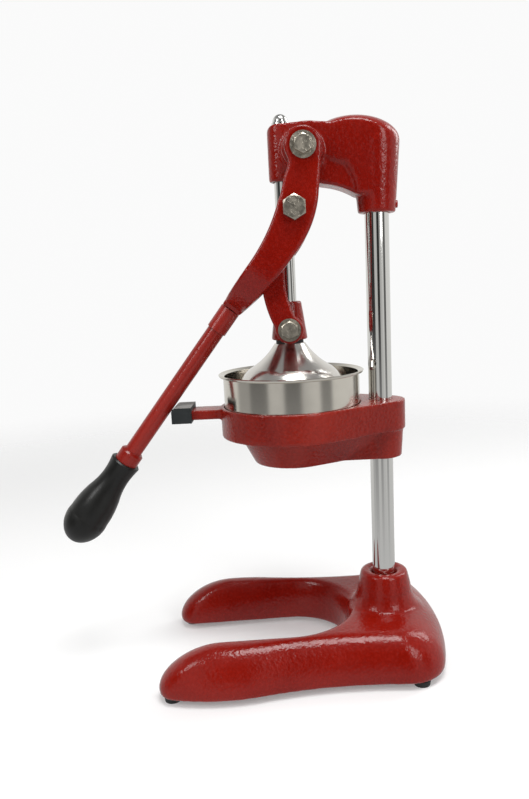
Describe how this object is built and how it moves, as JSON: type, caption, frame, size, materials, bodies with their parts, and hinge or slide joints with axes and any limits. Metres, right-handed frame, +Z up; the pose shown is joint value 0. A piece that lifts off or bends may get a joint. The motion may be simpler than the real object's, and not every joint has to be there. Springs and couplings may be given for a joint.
{
  "type": "hand lever juice press",
  "caption": "Hand lever juice press: horseshoe base, upright column, forked lever and links that drive a steel press cone into a strainer cup over a funnel arm.",
  "frame": {"origin": "on the table surface, under the centre of the press's bounding box at rest", "axes": "+Z up along the column, -Y to the front where the handle and the base's legs point, +X to the side of the bolt heads"},
  "size_m": [0.171, 0.3301, 0.462],
  "materials": {
    "red_enamel": "glossy enamel over sand-cast iron, fine orange peel",
    "red_hammered": "semi-gloss enamel with a fine hammered grain",
    "red_tube": "semi-gloss enamel on steel",
    "chrome_bar": "bright chrome on ground bar",
    "stainless_steel": "spun and polished, faint turning lines",
    "polished_steel": "mirror polished",
    "nickel_steel": "nickel plated, faces a little dull",
    "zinc_steel": "bright zinc",
    "black_steel": "black oxide",
    "grip_plastic": "satin black, fine moulded grain",
    "stop_rubber": "matte, greyer on the worn top",
    "foot_rubber": "matte"
  },
  "bodies": {
    "frame": {"base_casting": "red_enamel", "rubber_feet": "foot_rubber", "foot_screws": "zinc_steel", "column": "chrome_bar", "column_bolt": "zinc_steel", "column_washer": "zinc_steel", "head_casting": "red_enamel", "head_set_screw": "red_enamel", "arm_casting": "red_hammered", "arm_set_screw": "black_steel", "stop_pad": "stop_rubber", "juice_cup": "stainless_steel", "strainer": "stainless_steel", "pivot_bolt": "nickel_steel", "pivot_washers": "nickel_steel", "pivot_nut": "nickel_steel"},
    "lever": {"lever_yoke": "red_enamel", "lever_sleeve": "red_tube", "lever_tube": "red_tube", "grip_ferrule": "red_tube", "grip": "grip_plastic", "pin_bolts": "nickel_steel", "pin_nuts": "nickel_steel"},
    "links": {"link_right": "red_enamel", "link_left": "red_enamel", "block_bolts": "nickel_steel", "block_washers": "nickel_steel"},
    "plunger": {"plunger_rod": "chrome_bar", "plunger_block": "red_enamel", "cone_gasket": "foot_rubber", "press_cone": "polished_steel", "cone_bolt": "zinc_steel", "cone_washer": "zinc_steel"}
  },
  "joints": [
    {"name": "lever_hinge", "type": "hinge", "parent": "frame", "child": "lever", "pos_m": [0, 0.0544, 0.4317], "axis": [-1, 0, 0], "range_deg": [0, 110]},
    {"name": "link_hinge", "type": "hinge", "parent": "lever", "child": "links", "pos_m": [0, 0.046, 0.3867], "axis": [-1, 0, 0], "range_deg": [-129.34, 0]},
    {"name": "plunger_slide", "type": "slide", "parent": "frame", "child": "plunger", "axis": [0, 0, 1], "range_m": [0, 0.07105]}
  ],
  "couplings": [
    {"joint": "link_hinge", "follows": "lever_hinge", "ratio": -1.174},
    {"joint": "plunger_slide", "follows": "lever_hinge", "m_per_rad": 0.036956}
  ]
}
